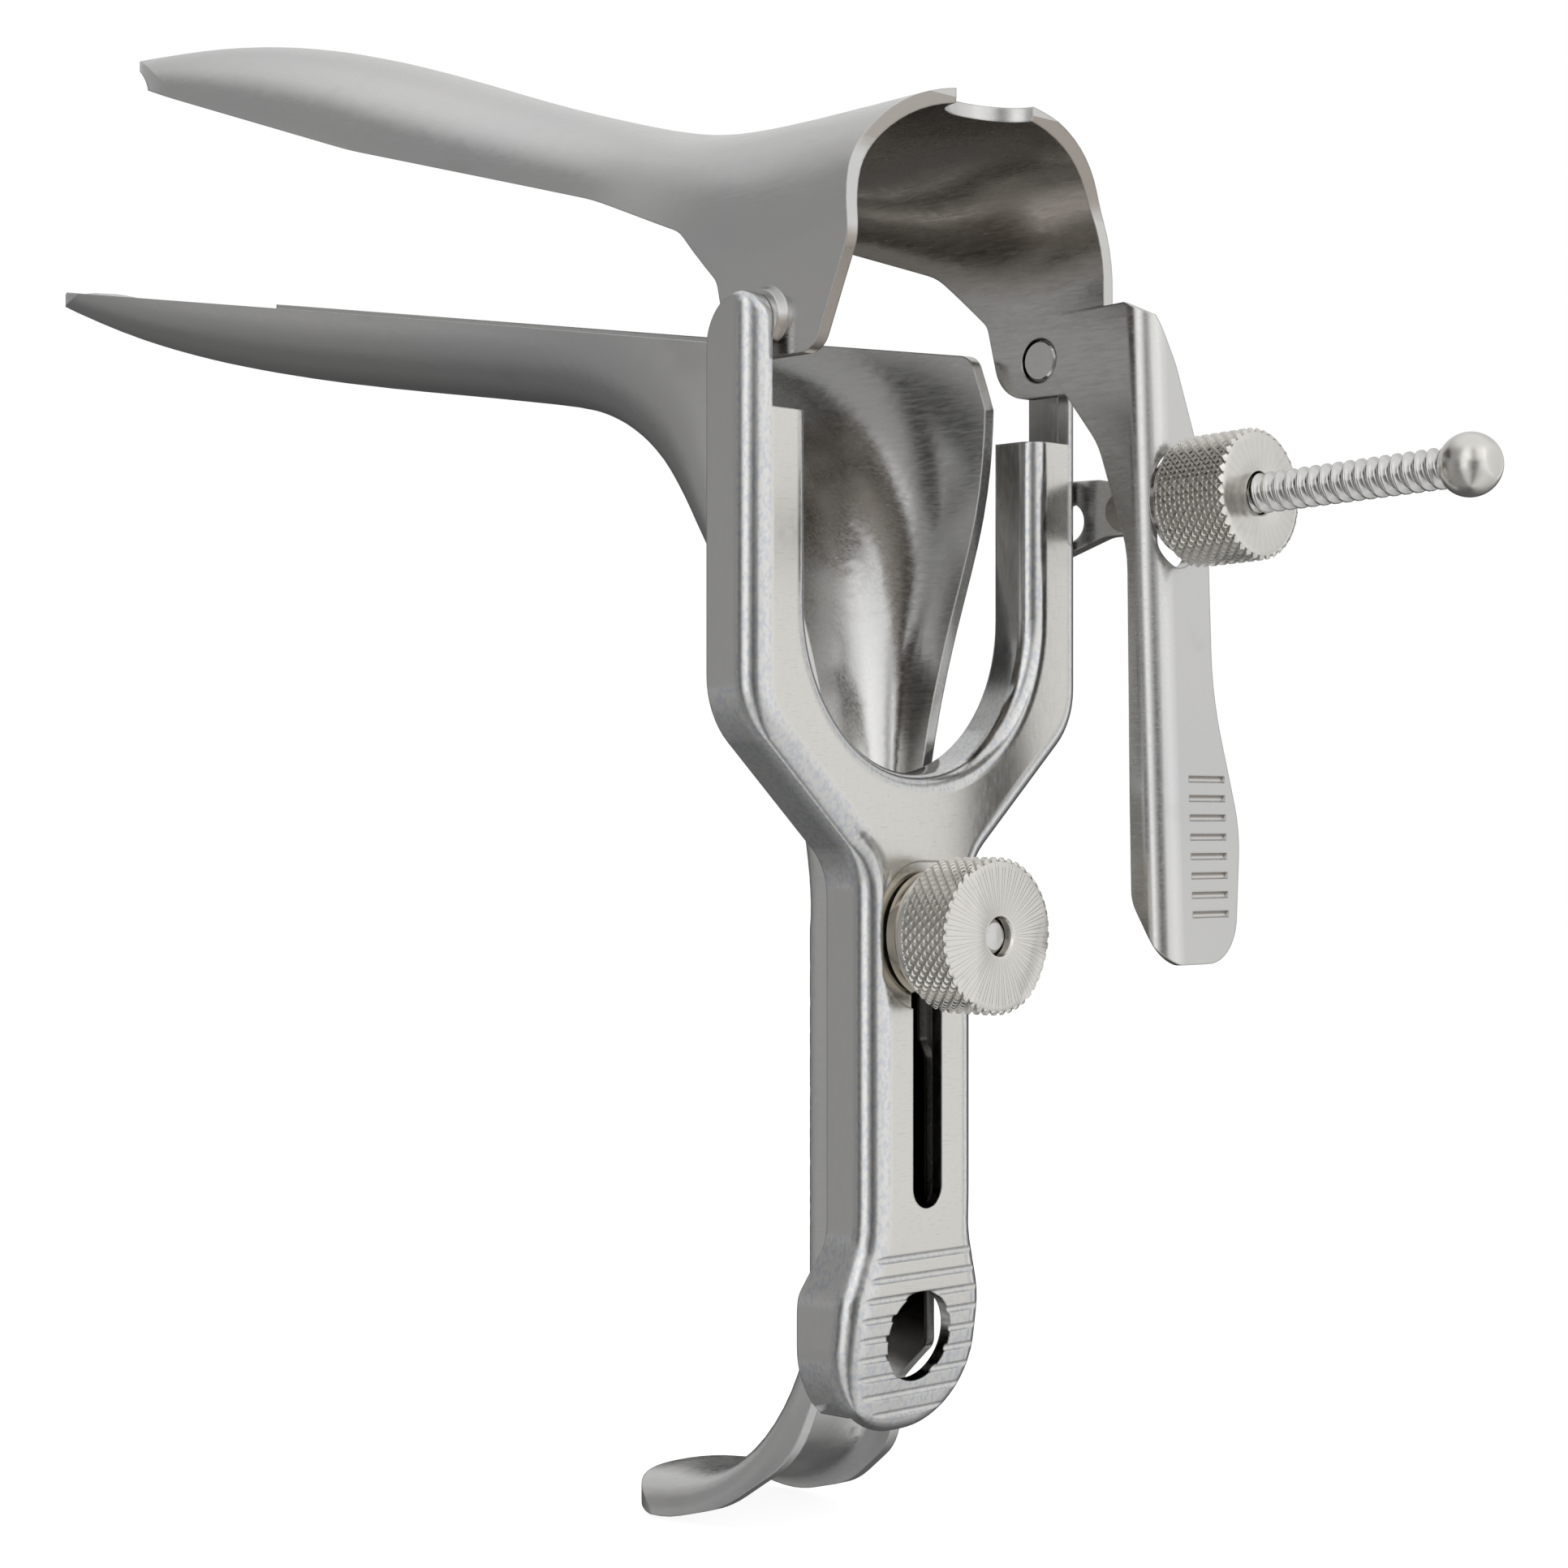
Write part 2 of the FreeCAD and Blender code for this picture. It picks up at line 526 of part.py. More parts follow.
# Clamp: stud riveted to the lower blade, washer and knurled nut in front of the frame.
STUD = "Sizes.stud_radius"
BORE = "Sizes.stud_radius + Sizes.thread_gap"
STUD_END = "Sizes.web_y + 0.6 + 8.3"
pieces = [frame_piece, lower_piece]
pieces.append(turned("clamp_stud", [
    ("0", "0"), ("3.0", "0"), ("3.0", "0.6"), (STUD, "0.6"), (STUD, STUD_END + " - 0.4"),
    (STUD + " - 0.4", STUD_END), ("0", STUD_END + " + 0.15"),
], ("0", "Sizes.face_y + Sizes.web_y + 0.6", "Sizes.stud_height"), X, "90"))
WASHER = "Sizes.clamp_washer_radius"
pieces.append(turned("clamp_washer", [
    (BORE, "0"), (WASHER + " - 0.2", "0"), (WASHER, "0.2"), (WASHER, "Sizes.clamp_washer_thick - 0.5"),
    (WASHER + " - 0.5", "Sizes.clamp_washer_thick"), (BORE, "Sizes.clamp_washer_thick"),
], ("0", "Sizes.face_y - Sizes.seat_gap", "Sizes.stud_height"), X, "90"))


def knurled_nut(label, bore, radius, length, start, shoulder, place):
    """Nut with a smooth shoulder behind the knurl and a crowned face."""
    def at(height):
        return height if start == "0" else "%s + %s" % (start, height)
    return turned(label, [
        (bore, start), (radius + " - 1.3", start), (radius + " - 0.75", at("0.45")),
        (radius + " - 0.75", at(shoulder)), (radius, at(shoulder + " + 0.3")),
        (radius, at(length + " - 1.0")), (radius + " - 0.65", at(length + " - 0.35")), (bore, at(length)),
    ], *place)


pieces.append(knurled_nut(
    "clamp_nut", BORE, "Sizes.clamp_nut_radius", "Sizes.clamp_nut_length", "0", "1.2",
    (("0", "Sizes.face_y - Sizes.clamp_washer_thick - 2 * Sizes.seat_gap", "Sizes.stud_height"), X, "90")))
pieces.append(upper_piece)

# Pivot screws: the head lies in the ear's dimple, the end is fixed in the arm.
HEAD = "Sizes.pivot_head"
SHANK = "Sizes.pivot_radius"
HEAD_FACE = "(Sizes.arm_half - Sizes.ear_gap - 2 * Sizes.gauge - Sizes.pivot_fit - 0.9)"
END = "Sizes.arm_half - Sizes.pivot_wall - 0.05 - " + HEAD_FACE
for label, sign in (("left_pivot_screw", "-1"), ("right_pivot_screw", "1")):
    place = (sign + " * " + HEAD_FACE, "Sizes.face_y + Sizes.pivot_y", "Sizes.pivot_z")
    screw = turned(label + "_blank", [
        ("0", "0"), (HEAD + " - 0.25", "0"), (HEAD, "0.25"), (HEAD, "0.9"),
        (SHANK, "0.9"), (SHANK, END), ("0", END),
    ], place, Y, sign + " * 90")
    slot_box = doc.addObject("Part::Box", label + "_slot")
    slot_box.Length = 0.9
    slot_box.Width = 8
    slot_box.Height = 0.55
    slot_box.setExpression("Placement.Base.x", "%s * (%s - 0.45) - 0.45" % (sign, HEAD_FACE))
    slot_box.setExpression("Placement.Base.y", "Sizes.face_y + Sizes.pivot_y - 4")
    slot_box.setExpression("Placement.Base.z", "Sizes.pivot_z - 0.275")
    cut = doc.addObject("Part::Cut", label)
    cut.Label = label
    cut.Base = screw
    cut.Tool = slot_box
    pieces.append(cut)

# Lug on the right arm, its rivet, and the hinge pin of the rod.
thick = s("lug_thick")
high = pin.z
lug = side_cut([
    (depth - 0.2, high - 5.2, 1.6), (depth - 0.2, high + 3.7, 1.6), (pin.y + 4.5, high + 3.5, 3.0),
    (pin.y - 2.05, high + 2.05, 2.04), (pin.y - 2.05, high - 2.05, 2.04), (pin.y + 3.9, high - 2.1, 4.0),
    (rivet_y - 1.1, high - 4.0, 0.3), (rivet_y - 1.1, high - 5.2, 0.6),
], arm, arm + thick)
lug = lug.cut(cylinder(s("lug_hole_radius"), V(arm - 1, 1.9, high - 0.45), thick + 2, X))
lug = lug.cut(cylinder(s("rivet_radius"), rivet_at, GAUGE + thick + 3, X))
lug = lug.cut(cylinder(s("lug_pin_radius"), V(arm - 1, pin.y, high), thick + 2, X))
pieces.append(placed(lug, "screw_lug"))
RIVET = "Sizes.rivet_radius"
OUTSIDE = "0.6 + Sizes.gauge + Sizes.lug_thick"
pieces.append(turned("lug_rivet", [
    ("0", "0"), (RIVET + " + 0.5", "0"), (RIVET + " + 0.8", "0.3"), (RIVET + " + 0.8", "0.6"),
    (RIVET, "0.6"), (RIVET, OUTSIDE), (RIVET + " + 0.8", OUTSIDE), (RIVET + " + 0.3", OUTSIDE + " + 0.7"),
    ("0", OUTSIDE + " + 0.7"),
], ("Sizes.arm_half - Sizes.gauge - 0.6", "Sizes.face_y + %s" % rivet_y, "Sizes.rod_z - 3.2"), Y, "90"))
PIN = "Sizes.lug_pin_radius"
PIN_Y = "Sizes.face_y + Sizes.rod_y"
GRIPPED = "0.6 + Sizes.rod_eye + 0.2 + Sizes.lug_thick"
pieces.append(turned("rod_pin", [
    ("0", "0"), (PIN + " + 0.6", "0"), (PIN + " + 0.6", "0.6"), (PIN, "0.6"), (PIN, GRIPPED),
    (PIN + " + 0.6", GRIPPED), (PIN + " + 0.3", GRIPPED + " + 0.6"), ("0", GRIPPED + " + 0.6"),
], ("Sizes.arm_half - Sizes.eye_gap - Sizes.rod_eye - 0.65", PIN_Y, "Sizes.rod_z"), Y, "90"))

# Angle screw: threaded rod with a flat eye and an end stop, washer and knurled nut against the lever.
ROD_X = "Sizes.arm_half - Sizes.eye_gap - Sizes.rod_eye / 2"
ALONG = ((ROD_X, PIN_Y, "Sizes.rod_z"), X, "90 - Sizes.rod_tilt")
CORE = "1.3"
STOP = "Sizes.ball_reach - Sizes.ball_radius + 0.4"
rod = turned("rod_shaft", [
    ("0", "1.7"), ("0.9", "1.7"), ("Sizes.rod_radius", "3.4"),
    ("Sizes.rod_radius", STOP), (CORE, STOP),
    (CORE, "Sizes.ball_reach + 0.5"), ("0", "Sizes.ball_reach + 0.5"),
], *ALONG)
eye = doc.addObject("Part::Cylinder", "rod_eye_disc")
neck_box = doc.addObject("Part::Box", "rod_eye_neck")
hole = doc.addObject("Part::Cylinder", "rod_eye_hole")
PIN_HOLE = "Sizes.lug_pin_radius + Sizes.pivot_fit"
for shape, radius, height in ((eye, "2.05", "Sizes.rod_eye"), (hole, PIN_HOLE, "6")):
    shape.setExpression("Radius", radius)
    shape.setExpression("Height", height)
    shape.Placement = FreeCAD.Placement(V(0, 0, 0), FreeCAD.Rotation(Y, 90))
    shape.setExpression("Placement.Base.x", "%s - (%s) / 2" % (ROD_X, height))
    shape.setExpression("Placement.Base.y", "Sizes.face_y + Sizes.rod_y")
    shape.setExpression("Placement.Base.z", "Sizes.rod_z")
neck_box.setExpression("Length", "Sizes.rod_eye")
neck_box.Width = 2.8
neck_box.Height = 4.0
neck_box.Placement = FreeCAD.Placement(V(0, 0, 0), FreeCAD.Rotation(X, 1.0))
neck_box.setExpression("Placement.Rotation.Angle", "90 - Sizes.rod_tilt")
neck_box.setExpression("Placement.Base.x", ROD_X + " - Sizes.rod_eye / 2")
AWAY_Y = "Sizes.face_y + Sizes.rod_y - %s * %s(Sizes.rod_tilt * 1deg)"
neck_box.setExpression("Placement.Base.y", AWAY_Y % ("1.4", "sin"))
neck_box.setExpression("Placement.Base.z", "Sizes.rod_z - 1.4 * cos(Sizes.rod_tilt * 1deg)")
joined = doc.addObject("Part::MultiFuse", "rod_solid")
joined.Shapes = [rod, eye, neck_box]
threaded = doc.addObject("Part::Cut", "threaded_rod")
threaded.Label = "threaded_rod"
threaded.Base = joined
threaded.Tool = hole
pieces.append(threaded)
BALL = "Sizes.ball_radius"
ball = doc.addObject("Part::Sphere", "rod_ball_blank")
ball.setExpression("Radius", BALL)
bore = doc.addObject("Part::Cylinder", "rod_ball_bore")
bore.setExpression("Radius", CORE)
bore.setExpression("Height", BALL + " + 0.5")
for shape, back in ((ball, "0"), (bore, BALL)):
    shape.Placement = FreeCAD.Placement(V(0, 0, 0), FreeCAD.Rotation(X, 1.0))
    shape.setExpression("Placement.Rotation.Angle", "90 - Sizes.rod_tilt")
    shape.setExpression("Placement.Base.x", ROD_X)
    away = "(Sizes.ball_reach - %s)" % back
    shape.setExpression("Placement.Base.y", AWAY_Y % (away, "cos"))
    shape.setExpression("Placement.Base.z", "Sizes.rod_z + %s * sin(Sizes.rod_tilt * 1deg)" % away)
stop = doc.addObject("Part::Cut", "rod_ball")
stop.Label = "rod_ball"
stop.Base = ball
stop.Tool = bore
pieces.append(stop)
ANGLE_BORE = "Sizes.rod_radius + Sizes.thread_gap"
SEAT = "Sizes.seat_reach + Sizes.angle_play"
WIDE = "Sizes.angle_washer_radius"
TOP = SEAT + " + Sizes.angle_washer_thick"
pieces.append(turned("angle_washer", [
    (ANGLE_BORE, SEAT), (WIDE + " - 0.2", SEAT), (WIDE, SEAT + " + 0.2"), (WIDE, TOP + " - 0.3"),
    (WIDE + " - 0.3", TOP), (ANGLE_BORE, TOP),
], *ALONG))
pieces.append(knurled_nut(
    "angle_nut", ANGLE_BORE, "Sizes.angle_nut_radius", "Sizes.angle_nut_length",
    TOP + " + Sizes.seat_gap", "0.7", ALONG))

doc.recompute()
for item in doc.Objects:
    if "Invalid" in item.State or "Error" in item.State:
        raise RuntimeError("%s did not build" % item.Label)
os.makedirs("parts", exist_ok=True)
for piece in pieces:
    shape = piece.Shape
    if shape.isNull() or not shape.isValid() or len(shape.Solids) != 1:
        raise RuntimeError("%s is not one sound solid" % piece.Label)
    shape.exportStep("parts/%s.step" % piece.Label)
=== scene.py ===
import math

import bmesh
import bpy
from mathutils import Matrix, Vector


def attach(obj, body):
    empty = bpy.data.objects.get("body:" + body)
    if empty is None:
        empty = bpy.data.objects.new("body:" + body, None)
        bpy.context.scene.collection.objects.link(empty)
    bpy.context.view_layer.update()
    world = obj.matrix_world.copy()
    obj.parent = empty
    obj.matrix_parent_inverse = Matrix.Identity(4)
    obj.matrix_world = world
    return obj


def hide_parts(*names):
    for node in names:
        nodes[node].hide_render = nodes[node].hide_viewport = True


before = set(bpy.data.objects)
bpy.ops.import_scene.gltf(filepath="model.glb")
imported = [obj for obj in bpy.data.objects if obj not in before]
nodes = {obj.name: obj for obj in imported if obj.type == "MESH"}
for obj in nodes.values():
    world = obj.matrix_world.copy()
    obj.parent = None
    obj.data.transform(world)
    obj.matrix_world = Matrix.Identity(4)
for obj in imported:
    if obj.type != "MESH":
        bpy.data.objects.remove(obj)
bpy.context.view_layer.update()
scene = bpy.context.scene

MM = 0.001

# Sizes and places are in millimetres.
FACE = -1.65                          # front face of the frame along Y
STUD_Z = 37.6                         # height of the clamp stud's axis
WASHER = 1.7                          # thickness of the clamp washer
SEAT_GAP = 0.05                       # between the washer and each face that it seats
PIN = Vector((21.75, -8.15, 78.1))    # middle of the pin that the rod swings on
TILT = math.radians(2.2)              # upward slope of the rod
ROD = Vector((0.0, -math.cos(TILT), math.sin(TILT)))
NUT_FROM_PIN = 7.02                   # pin to the inner face of the angle nut, along the rod
EYE_END = 3.42                        # pin to the end of the rod's eye
BALL_RADIUS = 2.9
BALL_CENTRE = 38.4                    # pin to the middle of the ball
BALL_TIP = 40.95                      # where the ball's end is pressed flat
FLOOR_Z = -19.6
FLOOR_HALF = 1500.0
PHOTO = 1932.0                        # width and height of the view in pixels
LEVEL_ROW = 1015.0                    # row of the view at the camera's height
ROUND = 64                            # segments of a turned form


class Finish:
    """Node material of one steel finish, built up step by step."""

    def __init__(self, name, tone, rough):
        self.mat = bpy.data.materials.new(name)
        self.mat.use_nodes = True
        self.tree = self.mat.node_tree
        self.shader = self.tree.nodes["Principled BSDF"]
        self.shader.inputs["Metallic"].default_value = 1.0
        place = self.node("ShaderNodeTexCoord")
        self.coords = place.outputs["Object"]
        self.normal = place.outputs["Normal"]
        self.colour = tone
        self.rough = rough
        self.height = None

    def node(self, kind, **values):
        made = self.tree.nodes.new(kind)
        for key, value in values.items():
            setattr(made, key, value)
        return made

    def join(self, value, socket):
        if isinstance(value, (int, float)):
            socket.default_value = value
        elif isinstance(value, tuple):
            socket.default_value = (*value, 1.0)
        else:
            self.tree.links.new(value, socket)

    def maths(self, kind, a, b=0.0):
        made = self.node("ShaderNodeMath", operation=kind)
        self.join(a, made.inputs[0])
        self.join(b, made.inputs[1])
        return made.outputs[0]

    def between(self, value, low, high):
        """0 below low, 1 above high, or the other way round when low is the larger."""
        made = self.node("ShaderNodeMapRange", interpolation_type="SMOOTHSTEP")
        self.join(value, made.inputs["Value"])
        self.join(low, made.inputs["From Min"])
        self.join(high, made.inputs["From Max"])
        return made.outputs[0]

    def noise(self, stretch, detail, low, high, turn=(0.0, 0.0, 0.0)):
        """Noise stretched along the axes, 0 below low and 1 above high."""
        spread = self.node("ShaderNodeMapping")
        spread.inputs["Rotation"].default_value = turn
        spread.inputs["Scale"].default_value = stretch
        self.join(self.coords, spread.inputs["Vector"])
        made = self.node("ShaderNodeTexNoise")
        made.inputs["Scale"].default_value = 1.0
        made.inputs["Detail"].default_value = detail
        self.join(spread.outputs[0], made.inputs["Vector"])
        return self.between(made.outputs["Fac"], low, high)

    def along(self, vector, direction):
        """How far a vector points in a direction."""
        made = self.node("ShaderNodeVectorMath", operation="DOT_PRODUCT")
        self.join(vector, made.inputs[0])
        made.inputs[1].default_value = direction
        return made.outputs["Value"]

    def inside(self, axis, low, high, edge):
        """1 where the place along an axis lies between two values, with soft edges."""
        split = self.node("ShaderNodeSeparateXYZ")
        self.join(self.coords, split.inputs[0])
        at = split.outputs["XYZ".index(axis)]
        above = self.between(at, (low - edge) * MM, (low + edge) * MM)
        below = self.between(at, (high + edge) * MM, (high - edge) * MM)
        return self.maths("MULTIPLY", above, below)

    def tint(self, tone, fac, amount=1.0):
        """Colour moved towards a tone where fac is high."""
        mix = self.node("ShaderNodeMix", data_type="RGBA")
        self.join(self.maths("MULTIPLY", fac, amount), mix.inputs["Factor"])
        self.join(self.colour, mix.inputs["A"])
        self.join(tone, mix.inputs["B"])
        self.colour = mix.outputs["Result"]
        return self

    def roughen(self, fac, amount):
        self.rough = self.maths("ADD", self.rough, self.maths("MULTIPLY", fac, amount))
        return self

    def relief(self, fac, amount):
        step = self.maths("MULTIPLY", fac, amount)
        self.height = step if self.height is None else self.maths("ADD", self.height, step)
        return self

    def grain(self, stretch, rough, relief, low=0.3, high=0.7, turn=(0.0, 0.0, 0.0)):
        """Noise that both roughens and raises the surface."""
        lines = self.noise(stretch, 4.0, low, high, turn)
        return self.roughen(lines, rough).relief(lines, relief)

    def done(self, depth, round_off=0.0):
        """Fills the shader: relief of a depth, edges rounded in the shading."""
        self.join(self.colour, self.shader.inputs["Base Color"])
        self.join(self.rough, self.shader.inputs["Roughness"])
        if self.height is not None:
            bump = self.node("ShaderNodeBump")
            if round_off:
                soft = self.node("ShaderNodeBevel", samples=4)
                soft.inputs["Radius"].default_value = round_off * MM
                self.join(soft.outputs[0], bump.inputs["Normal"])
            bump.inputs["Distance"].default_value = depth * MM
            self.join(self.height, bump.inputs["Height"])
            self.join(bump.outputs[0], self.shader.inputs["Normal"])
        return self.mat


WARM = (0.70, 0.685, 0.645)
COOL = (0.60, 0.61, 0.62)
PLAIN = (0.64, 0.635, 0.62)
DULL = (0.40, 0.385, 0.36)


def frame_steel():
    """Belt-ground flats, polished bends with a speckle of fine scratches, satin flanks. Painted
    light and shade: flats that face the front are tinted lighter and warmer, flanks that face
    sideways darker, and the speckled bends carry a bluish painted reflection.
    """
    s = Finish("frame_steel", PLAIN, 0.09)
    facing = s.maths("MULTIPLY", s.along(s.normal, (0, 1, 0)), -1.0)
    flat = s.between(facing, 0.985, 0.998)
    flank = s.between(s.maths("ABSOLUTE", s.along(s.normal, (1, 0, 0))), 0.985, 0.998)
    # painted light and shade: flats facing the front are tinted lighter and warmer, flanks facing
    # sideways darker
    s.tint(WARM, flat, 0.9)
    s.tint((0.54, 0.535, 0.52), flank, 0.7)
    s.roughen(flat, 0.12).roughen(flank, 0.10)
    bend = s.maths("SUBTRACT", 1.0, s.maths("MAXIMUM", flat, flank))
    bend_reflection_speckle = s.noise((2600, 2600, 1500), 3.0, 0.45, 0.62)
    # painted reflection: a bluish tint on the bends, laid in a speckle of fine scratches
    s.tint((0.44, 0.48, 0.56), s.maths("MULTIPLY", bend_reflection_speckle, bend), 0.5)
    hair = s.noise((700, 700, 9000), 2.0, 0.60, 0.70, (0.0, 0.6, 0.0))
    s.tint((0.45, 0.44, 0.41), s.maths("MULTIPLY", hair, flat), 0.3)
    s.grain((2400, 2400, 700), 0.05, 0.35)
    s.grain((60, 60, 40), 0.03, 3.0, 0.2, 0.8)
    s.tint(DULL, s.noise((120, 120, 90), 5.0, 0.58, 0.78), 0.2)
    return s.done(0.0012, 0.25)


def blade_steel(name, turn, rough, shade):
    """Satin sheet with fine crossed grain, darker where shade says so."""
    s = Finish(name, PLAIN, rough)
    s.tint(COOL, s.noise((45, 30, 45), 3.0, 0.4, 0.7), 0.5)
    s.grain((3000, 300, 3000), 0.08, 0.5, 0.3, 0.7, turn)
    s.grain((4600, 800, 4600), 0.05, 0.4, 0.35, 0.65, (turn[0] + 0.4, turn[1], turn[2]))
    s.grain((40, 24, 40), 0.03, 5.0, 0.2, 0.8)
    s.tint(DULL, s.noise((160, 90, 160), 5.0, 0.60, 0.80), 0.2)
    shade(s)
    return s.done(0.0010, 0.25)


def painted_shade_under_arch(s):
    """Painted shade: brown darkening on the underside of the arch and inside the lever's angle."""
    below = s.between(s.along(s.normal, (0, 0, 1)), 0.05, -0.25)
    behind = s.between(s.along(s.normal, (0, 1, 0)), 0.75, 0.95)
    near = s.inside("Y", -20.0, 30.0, 6.0)
    # painted shade on faces turned downwards, under the arch
    s.tint((0.30, 0.255, 0.21), s.maths("MULTIPLY", below, near), 0.75)
    # painted shade on faces turned away from the front, inside the lever's angle
    s.tint((0.30, 0.27, 0.235), s.maths("MULTIPLY", behind, near), 0.5)


def painted_shade_in_channel(s):
    """Painted shade: the inside of the handle's channel coloured near black."""
    channel_shade = s.maths("MULTIPLY", s.inside("X", -4.7, 4.7, 0.15), s.inside("Y", -5.0, 8.2, 0.15))
    channel_shade = s.maths("MULTIPLY", channel_shade, s.inside("Z", -8.0, 47.0, 2.0))
    # painted shade: near-black colour in the channel's recess
    s.tint((0.055, 0.05, 0.045), channel_shade, 0.95)


def turned_steel(name, tone, rough, dull):
    """Turned and knurled pieces: fine grain with dull patches."""
    s = Finish(name, tone, rough)
    s.grain((3000, 1200, 3000), 0.06, 0.4)
    s.tint(DULL, s.noise((420, 420, 420), 5.0, 0.52, 0.76), dull)
    s.grain((240, 240, 240), 0.04, 2.0, 0.25, 0.75)
    return s.done(0.0014)


FRAME = frame_steel()
LOWER = blade_steel("bowl_steel", (0.9, 0.0, 0.5), 0.13, painted_shade_in_channel)
UPPER = blade_steel("arch_steel", (0.3, 0.0, 0.2), 0.14, painted_shade_under_arch)
NUT = turned_steel("nut_steel", WARM, 0.16, 0.15)
THREAD = turned_steel("thread_steel", PLAIN, 0.07, 0.35)
BALL = turned_steel("ball_steel", WARM, 0.18, 0.1)
DARK = turned_steel("washer_steel", (0.50, 0.45, 0.38), 0.12, 0.5)
SCREW = turned_steel("screw_steel", PLAIN, 0.10, 0.4)


def shape(bm, name, mat, place=Matrix.Identity(4), sharp=38.0):
    """Object from a mesh drawn in millimetres."""
    bmesh.ops.recalc_face_normals(bm, faces=bm.faces)
    bm.transform(Matrix.Scale(MM, 4) @ place)
    mesh = bpy.data.meshes.new(name)
    bm.to_mesh(mesh)
    bm.free()
    mesh.polygons.foreach_set("use_smooth", [True] * len(mesh.polygons))
    mesh.set_sharp_from_angle(angle=math.radians(sharp))
    obj = bpy.data.objects.new(name, mesh)
    scene.collection.objects.link(obj)
    mesh.materials.append(mat)
    return obj


def standing(origin, way):
    """Placement that puts a shape's Z along a direction."""
    return Matrix.Translation(origin) @ way.to_track_quat("Z", "Y").to_matrix().to_4x4()


def ring_on(bm, edges, profile):
    """Carries a closed loop of edges on through rings of (radius, height)."""
    for radius, height in profile:
        made = bmesh.ops.extrude_edge_only(bm, edges=edges)["geom"]
        fresh = {g for g in made if isinstance(g, bmesh.types.BMVert)}
        edges = [g for g in made if isinstance(g, bmesh.types.BMEdge) and fresh.issuperset(g.verts)]
        for vert in fresh:
            turn = math.atan2(vert.co.y, vert.co.x)
            vert.co = (radius * math.cos(turn), radius * math.sin(turn), height)
    return edges


def diamonds(bm, radius, around, depth, low, high, chamfer):
    """Knurl of truncated diamonds, laid out flat, trimmed by its end chamfers and rolled up."""
    cell = 2 * math.pi * radius / around
    rows = int((high - low) / cell * 2) + 4
    for j in range(-1, rows):
        for i in range(around):
            across = (i + 0.5 * (j % 2)) * cell
            up = low + j * cell / 2
            corners = []
            for share, level in ((1.0, -depth), (0.42, 0.0)):
                for a, b in ((1, 0), (0, 1), (-1, 0), (0, -1)):
                    reach = share * cell / 2
                    corners.append(bm.verts.new((across + a * reach, up + b * reach, level)))
            bm.faces.new(corners[4:])
            for k in range(4):
                m = (k + 1) % 4
                bm.faces.new((corners[k], corners[m], corners[4 + m], corners[4 + k]))
    bmesh.ops.remove_doubles(bm, verts=bm.verts, dist=1e-4)
    for start, facing in ((low + chamfer, -1), (high - chamfer, 1)):
        bmesh.ops.bisect_plane(bm, geom=bm.verts[:] + bm.edges[:] + bm.faces[:], dist=1e-5,
                               plane_co=(0, start, 0), plane_no=(0, facing, 1), clear_outer=True)
    for vert in bm.verts:
        x, y, z = vert.co
        turn = x / radius
        vert.co = ((radius + z) * math.cos(turn), (radius + z) * math.sin(turn), y)
    bmesh.ops.remove_doubles(bm, verts=bm.verts, dist=1e-3)


def knurled_nut(name, radius, length, bore, shoulder, shoulder_radius, around, flats, place):
    """Nut with a knurled band, a plain shoulder behind it and facets ground on its face.

    Each facet is (distance from the axis where it starts, its direction, its slope).
    """
    bm = bmesh.new()
    low, high = shoulder, length - 0.22
    diamonds(bm, radius, around, 0.36, low, high, 0.12)
    rim = [e for e in bm.edges if len(e.link_faces) == 1]
    middle = (low + high) / 2
    front = [e for e in rim if e.verts[0].co.z > middle]
    back = [e for e in rim if e.verts[0].co.z < middle]
    front = ring_on(bm, front, [
        (radius - 0.40, length - 0.10), (radius - 0.62, length - 0.02), (radius - 0.9, length),
        (radius * 0.6, length), (bore + 0.3, length), (bore + 0.12, length - 0.05),
        (bore, length - 0.25), (bore, length * 0.5)])
    back = ring_on(bm, back, [
        (radius - 0.42, low), (shoulder_radius, low - 0.10), (shoulder_radius, low - 0.22),
        (shoulder_radius, 0.42), (shoulder_radius - 0.10, 0.16), (shoulder_radius - 0.35, 0.0),
        (bore + 0.2, 0.0), (bore, 0.2), (bore, length * 0.5)])
    bmesh.ops.bridge_loops(bm, edges=front + back)
    face = [f for f in bm.faces
            if min(v.co.z for v in f.verts) > length - 0.3 and f.normal.length]
    for reach, turn, slope in flats:
        way = Vector((math.cos(turn), math.sin(turn), 0.0))
        near = {v for f in face if f.is_valid for v in f.verts if v.is_valid}
        geom = list(near) + [e for v in near for e in v.link_edges]
        geom += [f for f in face if f.is_valid]
        bmesh.ops.bisect_plane(
            bm, geom=list(set(geom)), dist=1e-4, plane_co=way * reach, plane_no=way)
        for vert in bm.verts:
            beyond = vert.co.dot(way) - reach
            if beyond > 0 and vert.co.z > length - 0.45:
                vert.co.z = min(vert.co.z, length - beyond * slope)
        face = [f for f in bm.faces if min(v.co.z for v in f.verts) > length - 0.6]
    return shape(bm, name, NUT, place, 24.0)


def lathe(bm, profile):
    """Closed turned form from (radius, height); a radius of 0 closes an end."""
    rings = []
    for radius, height in profile:
        if radius == 0:
            rings.append([bm.verts.new((0, 0, height))])
            continue
        rings.append([bm.verts.new((radius * math.cos(t), radius * math.sin(t), height))
                      for t in (2 * math.pi * i / ROUND for i in range(ROUND))])
    for a, b in zip(rings, rings[1:]):
        for i in range(ROUND):
            j = (i + 1) % ROUND
            if len(a) == 1:
                bm.faces.new((a[0], b[j], b[i]))
            elif len(b) == 1:
                bm.faces.new((a[i], a[j], b[0]))
            else:
                bm.faces.new((a[i], a[j], b[j], b[i]))


